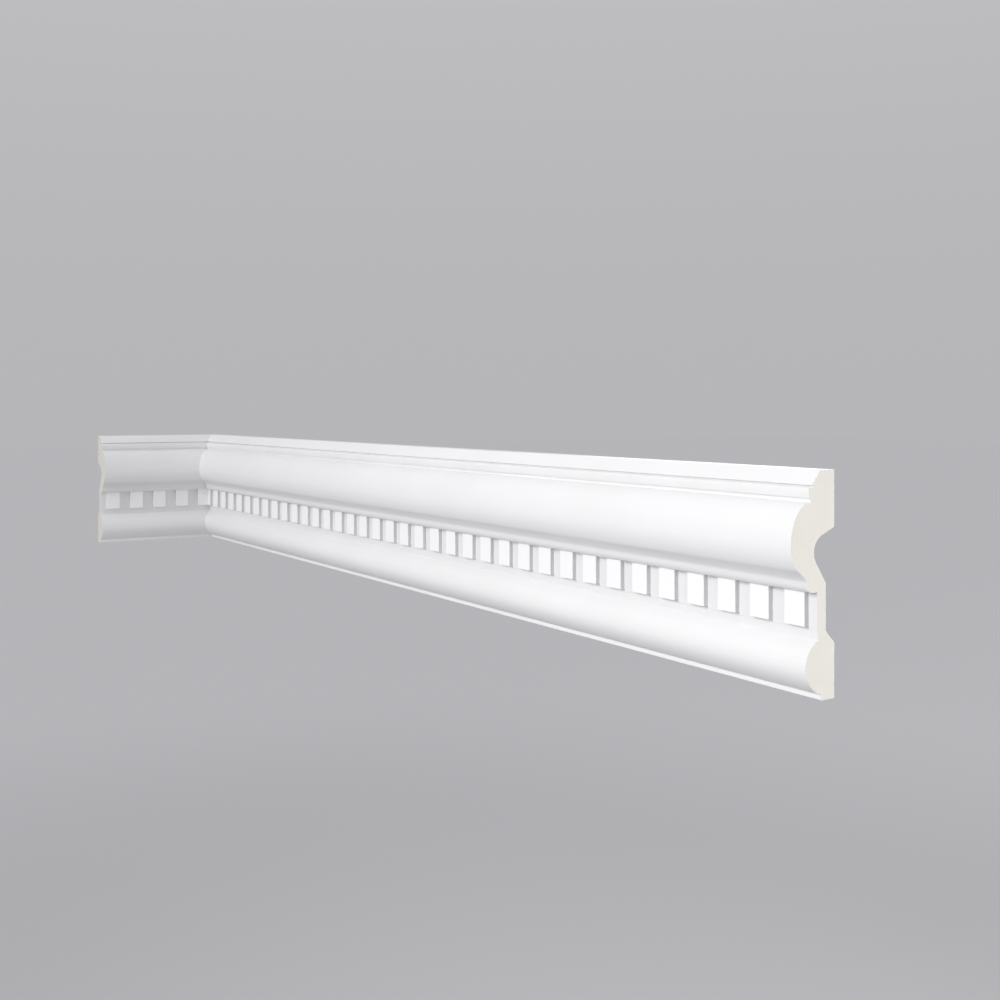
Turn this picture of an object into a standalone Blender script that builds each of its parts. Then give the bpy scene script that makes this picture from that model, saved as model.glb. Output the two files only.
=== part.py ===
"""A wall moulding with a row of dentils, cast in rigid foam: a main length and a short return.

The two lengths meet in a mitre at an inside corner. The main length runs from the corner towards +X,
with its back on the wall plane and its face towards -Y. The return runs from the corner towards -Y,
with its face towards +X. All sizes are in metres.
"""

import math

import bmesh
import bpy
from mathutils import Vector

# Length of each piece along its back, from the corner to the sawn end
MAIN_LENGTH = 0.8913
RETURN_LENGTH = 0.1267

# Height of each member, from the bottom edge up
BASE_FILLET_HEIGHT = 0.0030
LOWER_TORUS_HEIGHT = 0.0258
PLAIN_STRIP_HEIGHT = 0.0058
DENTIL_HEIGHT = 0.0171
BED_FILLET_HEIGHT = 0.0053
CAVETTO_HEIGHT = 0.0055
UPPER_TORUS_HEIGHT = 0.0322
LEDGE_RISER_HEIGHT = 0.0019
BEAD_HEIGHT = 0.0053
QUIRK_HEIGHT = 0.0008
TOP_SLOPE_HEIGHT = 0.0073

# How high each rounded member has its nose above its own foot
LOWER_TORUS_NOSE_RISE = 0.0127
UPPER_TORUS_NOSE_RISE = 0.0120
BEAD_NOSE_RISE = 0.0037

# How far the faces stand out from the wall, each one counted from the face beside it
FASCIA_DEPTH = 0.0115
LOWER_TORUS_BULGE = 0.0078
LOWER_TORUS_RETREAT = 0.0089
BASE_FILLET_SETBACK = 0.0012
BED_FILLET_PROJECTION = 0.0067
CAVETTO_RUN = 0.0060
CAVETTO_HOLLOW = 0.0005
UPPER_TORUS_BULGE = 0.0045
UPPER_TORUS_RETREAT = 0.0117
LEDGE_RUN = 0.0016
BEAD_PROJECTION = 0.0016
BEAD_FOOT_RETREAT = 0.00065
BEAD_HEAD_RETREAT = 0.0010
QUIRK_DEPTH = 0.0032
TOP_SLOPE_OVERHANG = 0.0012
TOP_SLOPE_RUN = 0.0054

# How far behind its nose each rounded member has the centres of its ellipses
LOWER_TORUS_SWEEP = 0.0220
UPPER_TORUS_SWEEP = 0.0132
BEAD_LOWER_SWEEP = 0.0108
BEAD_UPPER_SWEEP = 0.0014

# Radii of the soft arrises that the mould gives
BED_FILLET_RADIUS = 0.0033
SMALL_RADIUS = 0.0004

# Dentils: the row starts with half a gap at the sawn end
DENTIL_PITCH = 0.0240
DENTIL_WIDTH = 0.0134
DENTIL_RELIEF = 0.0031
DENTIL_RADIUS = 0.0004
DENTIL_ROOT = 0.0010
NARROWEST_DENTIL = 0.0020

# Relief channel along the back, between two flat strips that meet the wall
UPPER_PAD_HEIGHT = 0.0275
LOWER_PAD_HEIGHT = 0.0269
FASCIA_WALL = 0.0058
NOSE_WALL = 0.0151
POCKET_RADIUS = 0.0090
POCKET_ROOF_FALL = math.radians(24)
POCKET_FLOOR_RISE = math.radians(57)
CHANNEL_FLOOR_RISE = math.radians(45)
CHANNEL_UPPER_RADIUS = 0.0020
CHANNEL_LOWER_RADIUS = 0.0040

# Clearance between the two mitred faces
MITRE_GAP = 0.0003

# How far a cutter reaches past what it cuts
CUTTER_MARGIN = 0.005

# Number of straight steps in a curve
TORUS_STEPS = 12
BEAD_STEPS = 3
CURVE_STEPS = 6
ARRIS_STEPS = 3

# Heights of the joints between members
TORUS_FOOT_HEIGHT = BASE_FILLET_HEIGHT
STRIP_FOOT_HEIGHT = TORUS_FOOT_HEIGHT + LOWER_TORUS_HEIGHT
DENTIL_FOOT_HEIGHT = STRIP_FOOT_HEIGHT + PLAIN_STRIP_HEIGHT
SOFFIT_HEIGHT = DENTIL_FOOT_HEIGHT + DENTIL_HEIGHT
CAVETTO_FOOT_HEIGHT = SOFFIT_HEIGHT + BED_FILLET_HEIGHT
UPPER_TORUS_FOOT_HEIGHT = CAVETTO_FOOT_HEIGHT + CAVETTO_HEIGHT
UPPER_TORUS_HEAD_HEIGHT = UPPER_TORUS_FOOT_HEIGHT + UPPER_TORUS_HEIGHT
BEAD_FOOT_HEIGHT = UPPER_TORUS_HEAD_HEIGHT + LEDGE_RISER_HEIGHT
QUIRK_FOOT_HEIGHT = BEAD_FOOT_HEIGHT + BEAD_HEIGHT
TOP_SLOPE_FOOT_HEIGHT = QUIRK_FOOT_HEIGHT + QUIRK_HEIGHT
TOTAL_HEIGHT = TOP_SLOPE_FOOT_HEIGHT + TOP_SLOPE_HEIGHT

# Distances of the faces from the wall
LOWER_TORUS_NOSE_DEPTH = FASCIA_DEPTH + LOWER_TORUS_BULGE
LOWER_TORUS_FOOT_DEPTH = LOWER_TORUS_NOSE_DEPTH - LOWER_TORUS_RETREAT
BASE_FILLET_DEPTH = LOWER_TORUS_FOOT_DEPTH - BASE_FILLET_SETBACK
DENTIL_DEPTH = FASCIA_DEPTH + DENTIL_RELIEF
BED_FILLET_DEPTH = FASCIA_DEPTH + BED_FILLET_PROJECTION
UPPER_TORUS_FOOT_DEPTH = BED_FILLET_DEPTH + CAVETTO_RUN
UPPER_TORUS_NOSE_DEPTH = UPPER_TORUS_FOOT_DEPTH + UPPER_TORUS_BULGE
UPPER_TORUS_HEAD_DEPTH = UPPER_TORUS_NOSE_DEPTH - UPPER_TORUS_RETREAT
LEDGE_BACK_DEPTH = UPPER_TORUS_HEAD_DEPTH - LEDGE_RUN
BEAD_NOSE_DEPTH = LEDGE_BACK_DEPTH + BEAD_PROJECTION
QUIRK_FACE_DEPTH = BEAD_NOSE_DEPTH - QUIRK_DEPTH
TOP_SLOPE_FOOT_DEPTH = QUIRK_FACE_DEPTH + TOP_SLOPE_OVERHANG
TOP_DEPTH = TOP_SLOPE_FOOT_DEPTH - TOP_SLOPE_RUN
CHANNEL_DEPTH = FASCIA_DEPTH - FASCIA_WALL
POCKET_DEPTH = UPPER_TORUS_NOSE_DEPTH - NOSE_WALL

# The origin is on the upper of the two flat strips behind the main length, halfway along it
MOUNT_FROM_CORNER = MAIN_LENGTH / 2
MOUNT_HEIGHT = TOTAL_HEIGHT - UPPER_PAD_HEIGHT / 2


def white_primer():
    """The factory coat: white, between matt and satin."""
    material = bpy.data.materials.new("white primer")
    material.use_nodes = True
    shader = material.node_tree.nodes["Principled BSDF"]
    shader.inputs["Base Color"].default_value = (0.88, 0.88, 0.885, 1)
    shader.inputs["Roughness"].default_value = 0.45
    shader.inputs["Metallic"].default_value = 0
    return material


def ellipse_share(centre, run, rise, first_angle, last_angle, steps):
    """Points of an ellipse, as (depth, height), between two angles counted up from straight out."""
    points = []
    for step in range(steps + 1):
        angle = first_angle + (last_angle - first_angle) * step / steps
        points.append(Vector((centre[0] + run * math.cos(angle), centre[1] + rise * math.sin(angle))))
    return points


def half_torus(nose, end, sweep, steps):
    """Points along an ellipse from the nose of a rounded member to its foot or head, without the nose.

    The centre of the ellipse lies behind the nose by the sweep.
    """
    centre = (nose[0] - sweep, nose[1])
    end_angle = math.acos((end[0] - centre[0]) / sweep)
    rise = (end[1] - nose[1]) / math.sin(end_angle)
    return ellipse_share(centre, sweep, rise, 0, end_angle, steps)[1:]


def torus(foot, nose, head, sweep):
    """Points up a rounded member from its foot over its nose to its head."""
    below = half_torus(nose, foot, sweep, TORUS_STEPS)
    above = half_torus(nose, head, sweep, TORUS_STEPS)
    return below[::-1] + [Vector(nose)] + above


def hollow_curve(start, end, hollow):
    """Points along a circular arc from start to end that sinks into the moulding by the hollow."""
    start, end = Vector(start), Vector(end)
    chord = end - start
    inward = Vector((-chord.y, chord.x)).normalized()
    radius = (chord.length**2 / 4 + hollow**2) / (2 * hollow)
    centre = (start + end) / 2 - inward * (radius - hollow)
    half_angle = math.asin(chord.length / 2 / radius)
    points = []
    for step in range(CURVE_STEPS + 1):
        turn = half_angle * (1 - 2 * step / CURVE_STEPS)
        across = inward * math.cos(turn) * radius
        along = chord.normalized() * math.sin(-turn) * radius
        points.append(centre + across + along)
    return points


def fitting(radius, *sides):
    """The radius, or a smaller one where the sides that it runs out on are short."""
    return min(radius, *(0.9 * side for side in sides))


def rounded(before, corner, after, radius):
    """Points along the arc of the given radius that takes the place of a sharp corner."""
    before, corner, after = Vector(before), Vector(corner), Vector(after)
    back = (before - corner).normalized()
    onward = (after - corner).normalized()
    half_angle = math.acos(max(-1, min(1, back.dot(onward)))) / 2
    centre = corner + (back + onward).normalized() * (radius / math.sin(half_angle))
    first = corner + back * (radius / math.tan(half_angle)) - centre
    last = corner + onward * (radius / math.tan(half_angle)) - centre
    turn = math.atan2(first.x * last.y - first.y * last.x, first.dot(last))
    points = []
    for step in range(ARRIS_STEPS + 1):
        angle = turn * step / ARRIS_STEPS
        cos, sin = math.cos(angle), math.sin(angle)
        points.append(centre + Vector((first.x * cos - first.y * sin, first.x * sin + first.y * cos)))
    return points


def front_outline():
    """Points up the face of the moulding, as (depth, height), from its bottom edge to its top edge."""
    base_bottom = (BASE_FILLET_DEPTH, 0)
    base_top = (BASE_FILLET_DEPTH, BASE_FILLET_HEIGHT)
    points = rounded((0, 0), base_bottom, base_top, fitting(SMALL_RADIUS, BASE_FILLET_HEIGHT))
    points.append(Vector(base_top))
    points += torus(
        (LOWER_TORUS_FOOT_DEPTH, TORUS_FOOT_HEIGHT),
        (LOWER_TORUS_NOSE_DEPTH, TORUS_FOOT_HEIGHT + LOWER_TORUS_NOSE_RISE),
        (FASCIA_DEPTH, STRIP_FOOT_HEIGHT),
        LOWER_TORUS_SWEEP,
    )

    soffit_back = (FASCIA_DEPTH, SOFFIT_HEIGHT)
    bed_foot = (BED_FILLET_DEPTH, SOFFIT_HEIGHT)
    bed_head = (BED_FILLET_DEPTH, CAVETTO_FOOT_HEIGHT)
    points.append(Vector(soffit_back))
    bed_radius = fitting(BED_FILLET_RADIUS, BED_FILLET_HEIGHT, BED_FILLET_PROJECTION)
    points += rounded(soffit_back, bed_foot, bed_head, bed_radius)
    points += hollow_curve(bed_head, (UPPER_TORUS_FOOT_DEPTH, UPPER_TORUS_FOOT_HEIGHT), CAVETTO_HOLLOW)[:-1]

    points += torus(
        (UPPER_TORUS_FOOT_DEPTH, UPPER_TORUS_FOOT_HEIGHT),
        (UPPER_TORUS_NOSE_DEPTH, UPPER_TORUS_FOOT_HEIGHT + UPPER_TORUS_NOSE_RISE),
        (UPPER_TORUS_HEAD_DEPTH, UPPER_TORUS_HEAD_HEIGHT),
        UPPER_TORUS_SWEEP,
    )

    points.append(Vector((LEDGE_BACK_DEPTH, UPPER_TORUS_HEAD_HEIGHT)))
    points.append(Vector((LEDGE_BACK_DEPTH, BEAD_FOOT_HEIGHT)))
    bead_foot = (BEAD_NOSE_DEPTH - BEAD_FOOT_RETREAT, BEAD_FOOT_HEIGHT)
    bead_nose = (BEAD_NOSE_DEPTH, BEAD_FOOT_HEIGHT + BEAD_NOSE_RISE)
    bead_head = (BEAD_NOSE_DEPTH - BEAD_HEAD_RETREAT, QUIRK_FOOT_HEIGHT)
    points += half_torus(bead_nose, bead_foot, BEAD_LOWER_SWEEP, BEAD_STEPS)[::-1]
    points.append(Vector(bead_nose))
    points += half_torus(bead_nose, bead_head, BEAD_UPPER_SWEEP, BEAD_STEPS)

    points.append(Vector((QUIRK_FACE_DEPTH, QUIRK_FOOT_HEIGHT)))
    slope_foot = (TOP_SLOPE_FOOT_DEPTH, TOP_SLOPE_FOOT_HEIGHT)
    slope_head = (TOP_DEPTH, TOTAL_HEIGHT)
    points.append(Vector((QUIRK_FACE_DEPTH, TOP_SLOPE_FOOT_HEIGHT)))
    points.append(Vector(slope_foot))
    points += rounded(slope_foot, slope_head, (0, TOTAL_HEIGHT), SMALL_RADIUS)
    return points


def channel_outline():
    """Points down the relief channel in the back, as (depth, height), from its upper edge to its lower one."""
    upper_edge = Vector((0, TOTAL_HEIGHT - UPPER_PAD_HEIGHT))
    lower_edge = Vector((0, LOWER_PAD_HEIGHT))

    # The pocket behind the nose is an arc that the roof and the floor both touch
    centre_depth = POCKET_DEPTH - POCKET_RADIUS
    roof_drop = centre_depth * math.tan(POCKET_ROOF_FALL) + POCKET_RADIUS / math.cos(POCKET_ROOF_FALL)
    centre = (centre_depth, upper_edge.y - roof_drop)
    roof_angle = math.pi / 2 - POCKET_ROOF_FALL
    floor_angle = POCKET_FLOOR_RISE - math.pi / 2
    pocket = ellipse_share(centre, POCKET_RADIUS, POCKET_RADIUS, roof_angle, floor_angle, TORUS_STEPS)

    floor_fall = (pocket[-1].x - CHANNEL_DEPTH) * math.tan(POCKET_FLOOR_RISE)
    upper_corner = (CHANNEL_DEPTH, pocket[-1].y - floor_fall)
    lower_corner = (CHANNEL_DEPTH, lower_edge.y + CHANNEL_DEPTH * math.tan(CHANNEL_FLOOR_RISE))
    points = [upper_edge] + pocket
    points += rounded(pocket[-1], upper_corner, lower_corner, CHANNEL_UPPER_RADIUS)
    points += rounded(upper_corner, lower_corner, lower_edge, CHANNEL_LOWER_RADIUS)
    points.append(lower_edge)
    return points


def section():
    """The whole outline of the moulding's cut end, as (depth, height), all the way round."""
    bottom_back = Vector((0, 0))
    top_back = Vector((0, TOTAL_HEIGHT))
    return [bottom_back] + front_outline() + [top_back] + channel_outline()


def object_of(bm, name):
    """A new object in the scene with the built mesh, its faces turned outwards."""
    bmesh.ops.recalc_face_normals(bm, faces=bm.faces)
    mesh = bpy.data.meshes.new(name)
    bm.to_mesh(mesh)
    bm.free()
    obj = bpy.data.objects.new(name, mesh)
    bpy.context.scene.collection.objects.link(obj)
    return obj


def prism(bm, base, offset):
    """Adds the solid between a flat outline and its copy, moved by the offset."""
    face = bm.faces.new([bm.verts.new(point) for point in base])
    raised = bmesh.ops.extrude_face_region(bm, geom=[face])["geom"]
    bmesh.ops.translate(bm, vec=offset, verts=[item for item in raised if isinstance(item, bmesh.types.BMVert)])


def helper(bm, name, owner):
    """A mesh that is only used to cut or to add to its owner, hidden from renders."""
    obj = object_of(bm, name)
    obj.parent = owner
    obj.hide_render = True
    obj.display_type = "WIRE"
    return obj


def dentil_ends(length):
    """Where each dentil ends, along the run from the corner, counted from the sawn end."""
    ends = []
    end = length - (DENTIL_PITCH - DENTIL_WIDTH) / 2
    while end - DENTIL_DEPTH > NARROWEST_DENTIL:
        ends.append(end)
        end -= DENTIL_PITCH
    return ends


def dentil_row(length, towards, owner):
    """The blocks of the dentils, each rounded along its arrises and rooted in the fascia and in the soffit."""
    bm = bmesh.new()
    rear = FASCIA_DEPTH - DENTIL_ROOT
    foot = DENTIL_FOOT_HEIGHT
    rise = Vector((0, 0, DENTIL_HEIGHT + DENTIL_ROOT))
    for end in dentil_ends(length):
        start = end - DENTIL_WIDTH
        plan = [(start, rear), (end, rear), (end, DENTIL_DEPTH), (start, DENTIL_DEPTH)]
        prism(bm, [(towards * along, -depth, foot) for along, depth in plan], rise)
    bmesh.ops.bevel(
        bm, geom=bm.edges[:], offset=DENTIL_RADIUS, segments=2, profile=0.5, affect="EDGES", clamp_overlap=True
    )
    return helper(bm, owner.name + " dentils", owner)


def mitre_cutter(towards, owner):
    """The wedge that the mitre saw takes off, past a plane at 45 degrees to the wall."""
    bm = bmesh.new()
    edge = MITRE_GAP / 2 * math.sqrt(2)
    reach = UPPER_TORUS_NOSE_DEPTH + CUTTER_MARGIN
    near = edge - CUTTER_MARGIN
    plan = [(near, -CUTTER_MARGIN), (edge + reach, reach), (near, reach)]
    base = [(towards * along, -depth, -CUTTER_MARGIN) for along, depth in plan]
    prism(bm, base, Vector((0, 0, TOTAL_HEIGHT + 2 * CUTTER_MARGIN)))
    return helper(bm, owner.name + " mitre", owner)


def add_boolean(obj, operation, other):
    modifier = obj.modifiers.new(other.name, "BOOLEAN")
    modifier.operation = operation
    modifier.object = other


def moulding_length(name, length, towards, material):
    """One length of moulding that starts at the corner and runs towards +X, or towards -X where that is -1."""
    bm = bmesh.new()
    prism(bm, [(0, -depth, height) for depth, height in section()], Vector((towards * length, 0, 0)))
    obj = object_of(bm, name)
    obj.data.materials.append(material)
    obj.data.shade_smooth()
    obj.data.set_sharp_from_angle(angle=math.radians(25))
    add_boolean(obj, "UNION", dentil_row(length, towards, obj))
    add_boolean(obj, "DIFFERENCE", mitre_cutter(towards, obj))
    return obj


def main():
    for obj in list(bpy.data.objects):
        bpy.data.objects.remove(obj, do_unlink=True)
    primer = white_primer()

    corner = bpy.data.objects.new("inside corner", None)
    corner.location = (-MOUNT_FROM_CORNER, 0, -MOUNT_HEIGHT)
    bpy.context.scene.collection.objects.link(corner)

    main_length = moulding_length("main_length", MAIN_LENGTH, 1, primer)
    main_length.parent = corner
    corner_return = moulding_length("corner_return", RETURN_LENGTH, -1, primer)
    corner_return.parent = corner
    corner_return.rotation_euler.z = math.pi / 2


main()
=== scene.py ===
# %% [markdown]
# # A wall moulding with a row of dentils
#
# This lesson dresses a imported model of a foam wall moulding. A long main length and a short return meet in
# a mitre, on the inside of a right angle. Both are cast in one mould, so they have one section: a base
# fillet, a torus, a plain strip, a row of small blocks called dentils, a bed fillet, a hollow, a large
# torus, a bead and a sloped top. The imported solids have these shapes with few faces. Here they get the soft
# arrises, root fillets, sawn ends and finishes of the real casting.
#
# Every cell builds on the one before it. All lengths are in metres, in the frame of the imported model.

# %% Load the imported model
import math

import bmesh
import bpy
from mathutils import Matrix, Vector
from mathutils.geometry import delaunay_2d_cdt


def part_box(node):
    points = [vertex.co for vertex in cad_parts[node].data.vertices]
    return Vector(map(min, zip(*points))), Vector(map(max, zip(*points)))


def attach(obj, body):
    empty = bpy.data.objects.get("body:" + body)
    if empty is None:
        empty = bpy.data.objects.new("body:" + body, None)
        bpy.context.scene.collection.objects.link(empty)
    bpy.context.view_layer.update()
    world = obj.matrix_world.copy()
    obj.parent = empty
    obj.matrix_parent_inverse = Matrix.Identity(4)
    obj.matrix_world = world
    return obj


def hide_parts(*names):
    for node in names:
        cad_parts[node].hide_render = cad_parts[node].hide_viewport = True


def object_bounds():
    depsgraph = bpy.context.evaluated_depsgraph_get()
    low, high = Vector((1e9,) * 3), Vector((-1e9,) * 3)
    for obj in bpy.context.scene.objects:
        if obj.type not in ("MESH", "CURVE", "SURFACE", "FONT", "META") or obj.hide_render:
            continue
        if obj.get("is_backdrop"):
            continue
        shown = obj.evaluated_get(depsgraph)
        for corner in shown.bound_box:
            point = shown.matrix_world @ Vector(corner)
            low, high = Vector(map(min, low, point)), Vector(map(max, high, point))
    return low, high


MILLIMETRES = 1000


def in_millimetres(corners):
    """The two corners of a box, rounded for printing."""
    return [[round(value * MILLIMETRES, 2) for value in corner] for corner in corners]


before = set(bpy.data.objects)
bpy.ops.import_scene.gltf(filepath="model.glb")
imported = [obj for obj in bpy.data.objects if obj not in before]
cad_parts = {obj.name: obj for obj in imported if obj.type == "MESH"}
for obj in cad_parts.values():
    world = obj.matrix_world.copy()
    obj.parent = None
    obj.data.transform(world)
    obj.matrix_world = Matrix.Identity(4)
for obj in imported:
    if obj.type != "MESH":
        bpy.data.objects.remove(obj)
cad_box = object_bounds()
main_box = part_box("main_length")
return_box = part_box("corner_return")
print("main_length", in_millimetres(main_box), "mm")
print("corner_return", in_millimetres(return_box), "mm")

# %% [markdown]
# ## Where everything sits
#
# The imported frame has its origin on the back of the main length. The sizes below count from the corner
# where the backs of the two lengths meet, at the bottom edge, because a joiner measures from there. The
# packed boxes give the way from one to the other, so nothing has to be fitted by eye.

# %% The corner, and the lengths of the two pieces
CORNER = Vector((return_box[0][0], main_box[1][1], main_box[0][2]))
MAIN_LENGTH = main_box[1][0] - CORNER.x
RETURN_LENGTH = CORNER.y - return_box[0][1]
TOTAL_HEIGHT = main_box[1][2] - main_box[0][2]
print("corner", tuple(round(value, 5) for value in CORNER))
for label, size in (("main", MAIN_LENGTH), ("return", RETURN_LENGTH), ("height", TOTAL_HEIGHT)):
    print(f"{label} {size * MILLIMETRES:.1f} mm")

# %% [markdown]
# ## The camera
#
# The photograph looks along the main length from beyond its sawn end, a little above the moulding. Upright
# edges stay upright in it, so the camera is level, and the lens is shifted down instead of the camera being
# tilted. The values come from fitting the moulding's own long edges and its two ends to the picture.

# %% Place the camera
CAMERA_FROM_CORNER = Vector((1.3117, -0.4506, 0.1400))
CAMERA_TURN = math.radians(58.13)
FOCAL_SHARE = 1.2370
HORIZON_SHARE = 0.4070
SENSOR_WIDTH = 36.0

camera_data = bpy.data.cameras.new("camera")
camera_data.sensor_width = SENSOR_WIDTH
camera_data.lens = FOCAL_SHARE * SENSOR_WIDTH
camera_data.shift_y = HORIZON_SHARE - 0.5
camera = bpy.data.objects.new("camera", camera_data)
camera.location = CORNER + CAMERA_FROM_CORNER
camera.rotation_euler = (math.radians(90), 0, CAMERA_TURN)
bpy.context.scene.collection.objects.link(camera)
bpy.context.scene.camera = camera
print(f"lens {camera_data.lens:.1f} mm, shift {camera_data.shift_y:.3f}")

# %% [markdown]
# ## The section
#
# A moulding is one outline pushed along a line, so the outline deserves the most care. It is written as a
# chain of corners, each with a depth from the back, a height from the bottom edge and a radius. A mould can't
# give a knife edge: each arris comes out with a radius of a few tenths of a millimetre, and the primer rounds
# the inner corners as well. A Bevel modifier could do that, but it would treat all edges alike. Radii that
# belong to the corners can follow the real ones, from 4 mm in the channel to 0.1 mm under the dentils.

# %% Heights and depths of the members
BASE_TOP = 0.0030
LOWER_NOSE = 0.0157
STRIP_FOOT = 0.0288
DENTIL_FOOT = 0.0346
SOFFIT = 0.0517
CAVETTO_FOOT = 0.0570
UPPER_TORUS_FOOT = 0.0625
UPPER_NOSE = 0.0745
UPPER_TORUS_HEAD = 0.0947
BEAD_FOOT = 0.0966
BEAD_NOSE = 0.1003
BEAD_HEAD = 0.1019
SLOPE_FOOT = 0.1027

BASE_DEPTH = 0.0092
LOWER_FOOT_DEPTH = 0.0104
LOWER_NOSE_DEPTH = 0.0193
FASCIA_DEPTH = 0.0115
DENTIL_DEPTH = 0.0146
BED_DEPTH = 0.0182
UPPER_FOOT_DEPTH = 0.0242
UPPER_NOSE_DEPTH = 0.0287
UPPER_HEAD_DEPTH = 0.0170
LEDGE_DEPTH = 0.0154
BEAD_FOOT_DEPTH = 0.01635
BEAD_NOSE_DEPTH = 0.0170
BEAD_HEAD_DEPTH = 0.0160
QUIRK_DEPTH = 0.0138
SLOPE_FOOT_DEPTH = 0.0150
SLOPE_HEAD_DEPTH = 0.0096

LOWER_SWEEP = 0.0220
UPPER_SWEEP = 0.0132
BEAD_LOWER_SWEEP = 0.0108
BEAD_UPPER_SWEEP = 0.0014
CAVETTO_HOLLOW = 0.0005
member_feet = (BASE_TOP, STRIP_FOOT, DENTIL_FOOT, SOFFIT)
print("members from the bottom:", [round(height * MILLIMETRES, 1) for height in member_feet], "mm")

# %% Curves along the outline
CURVE_STEPS = 20
BEAD_STEPS = 5
HOLLOW_STEPS = 6


def half_torus(nose, end, sweep, steps=CURVE_STEPS):
    """Corners along an ellipse from the nose of a torus to its foot or head, without the nose."""
    last = math.acos((end[0] - nose[0] + sweep) / sweep)
    rise = (end[1] - nose[1]) / math.sin(last)
    corners = []
    for step in range(1, steps + 1):
        angle = last * step / steps
        corners.append((nose[0] - sweep + sweep * math.cos(angle), nose[1] + rise * math.sin(angle), 0))
    return corners


def torus(foot, nose, head, sweep, foot_radius=0, head_radius=0):
    """Corners up a torus, with a radius at its foot and at its head."""
    below = half_torus(nose, foot, sweep)[::-1]
    above = half_torus(nose, head, sweep)
    below[0] = (*below[0][:2], foot_radius)
    above[-1] = (*above[-1][:2], head_radius)
    return below + [(*nose, 0)] + above


def hollow(start, end, sink):
    """Corners between the start and the end of a shallow hollow, on a parabola that sinks inwards."""
    run, rise = end[0] - start[0], end[1] - start[1]
    length = math.hypot(run, rise)
    corners = []
    for step in range(1, HOLLOW_STEPS):
        share = step / HOLLOW_STEPS
        dip = 4 * sink * share * (1 - share) / length
        corners.append((start[0] + run * share - rise * dip, start[1] + rise * share + run * dip, 0))
    return corners


print("steps in a curve, the bead and the hollow:", CURVE_STEPS, BEAD_STEPS, HOLLOW_STEPS)

# %% Soft corners
ARC_STEPS = 4
LARGE_RADIUS = 0.001
NEARLY_STRAIGHT = math.radians(89)


def softened(chain):
    """Points along a chain of (depth, height, radius) corners, with an arc in the place of each radius."""
    points = [Vector(chain[0][:2])]
    for before, corner, after in zip(chain, chain[1:], chain[2:]):
        point, radius = Vector(corner[:2]), corner[2]
        back = (Vector(before[:2]) - point).normalized()
        onward = (Vector(after[:2]) - point).normalized()
        half = math.acos(max(-1, min(1, back.dot(onward)))) / 2
        if radius == 0 or half > NEARLY_STRAIGHT:
            points.append(point)
            continue
        reach = radius / math.tan(half)
        centre = point + (back + onward).normalized() * (radius / math.sin(half))
        first = point + back * reach - centre
        last = point + onward * reach - centre
        turn = math.atan2(first.cross(last), first.dot(last))
        steps = max(2, round(ARC_STEPS * abs(turn) / math.radians(90)))
        if radius > LARGE_RADIUS:
            steps *= 2
        for step in range(steps + 1):
            points.append(centre + Matrix.Rotation(turn * step / steps, 2) @ first)
    return points + [Vector(chain[-1][:2])]


right_angle = [(0, 0, 0), (LARGE_RADIUS, 0, LARGE_RADIUS / 2), (LARGE_RADIUS, LARGE_RADIUS, 0)]
print("points where a right angle is made soft:", len(softened(right_angle)))

# %% [markdown]
# The outline is split in two where the dentils stand. The lower chain ends on the plain strip just under
# them, and the upper chain starts on the soffit just in front of them. What lies between is no plain sweep,
# because the dentils interrupt it, so a later cell builds it by itself. The upper chain goes on over the top
# and down the back, where the mould leaves a relief channel between two flat pads that take the adhesive.

# %% The chains of the face
DENTIL_ROOT_RADIUS = 0.0005
STRIP_JOINT = DENTIL_FOOT - 2 * DENTIL_ROOT_RADIUS
SOFFIT_JOINT = DENTIL_DEPTH + 0.0001
STRIP_SINK = 0.0003

ARRIS_RADIUS = 0.0004
ROOT_RADIUS = 0.0003
STRIP_STEP_RADIUS = 0.0001
BED_FOOT_RADIUS = 0.0033
BED_HEAD_RADIUS = 0.0025
FINE_RADIUS = 0.0002
TOP_ARRIS_RADIUS = 0.0005

strip_depth, strip_head = FASCIA_DEPTH - STRIP_SINK, STRIP_JOINT - STRIP_SINK
lower_chain = [(0, 0, 0), (BASE_DEPTH, 0, ARRIS_RADIUS), (BASE_DEPTH, BASE_TOP, ROOT_RADIUS)]
lower_chain += torus(
    (LOWER_FOOT_DEPTH, BASE_TOP),
    (LOWER_NOSE_DEPTH, LOWER_NOSE),
    (strip_depth, STRIP_FOOT),
    LOWER_SWEEP,
    foot_radius=ROOT_RADIUS,
    head_radius=ARRIS_RADIUS,
)
lower_chain += [
    (strip_depth, strip_head, STRIP_STEP_RADIUS),
    (FASCIA_DEPTH, strip_head, STRIP_STEP_RADIUS),
    (FASCIA_DEPTH, STRIP_JOINT, 0),
]

upper_chain = [
    (SOFFIT_JOINT, SOFFIT, 0),
    (BED_DEPTH, SOFFIT, BED_FOOT_RADIUS),
    (BED_DEPTH, CAVETTO_FOOT, BED_HEAD_RADIUS),
]
upper_chain += hollow((BED_DEPTH, CAVETTO_FOOT), (UPPER_FOOT_DEPTH, UPPER_TORUS_FOOT), CAVETTO_HOLLOW)
upper_chain += torus(
    (UPPER_FOOT_DEPTH, UPPER_TORUS_FOOT),
    (UPPER_NOSE_DEPTH, UPPER_NOSE),
    (UPPER_HEAD_DEPTH, UPPER_TORUS_HEAD),
    UPPER_SWEEP,
    head_radius=ROOT_RADIUS,
)
bead_nose = (BEAD_NOSE_DEPTH, BEAD_NOSE)
bead_below = half_torus(bead_nose, (BEAD_FOOT_DEPTH, BEAD_FOOT), BEAD_LOWER_SWEEP, BEAD_STEPS)[::-1]
bead_above = half_torus(bead_nose, (BEAD_HEAD_DEPTH, BEAD_HEAD), BEAD_UPPER_SWEEP, BEAD_STEPS)
bead_below[0] = (*bead_below[0][:2], FINE_RADIUS)
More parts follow.
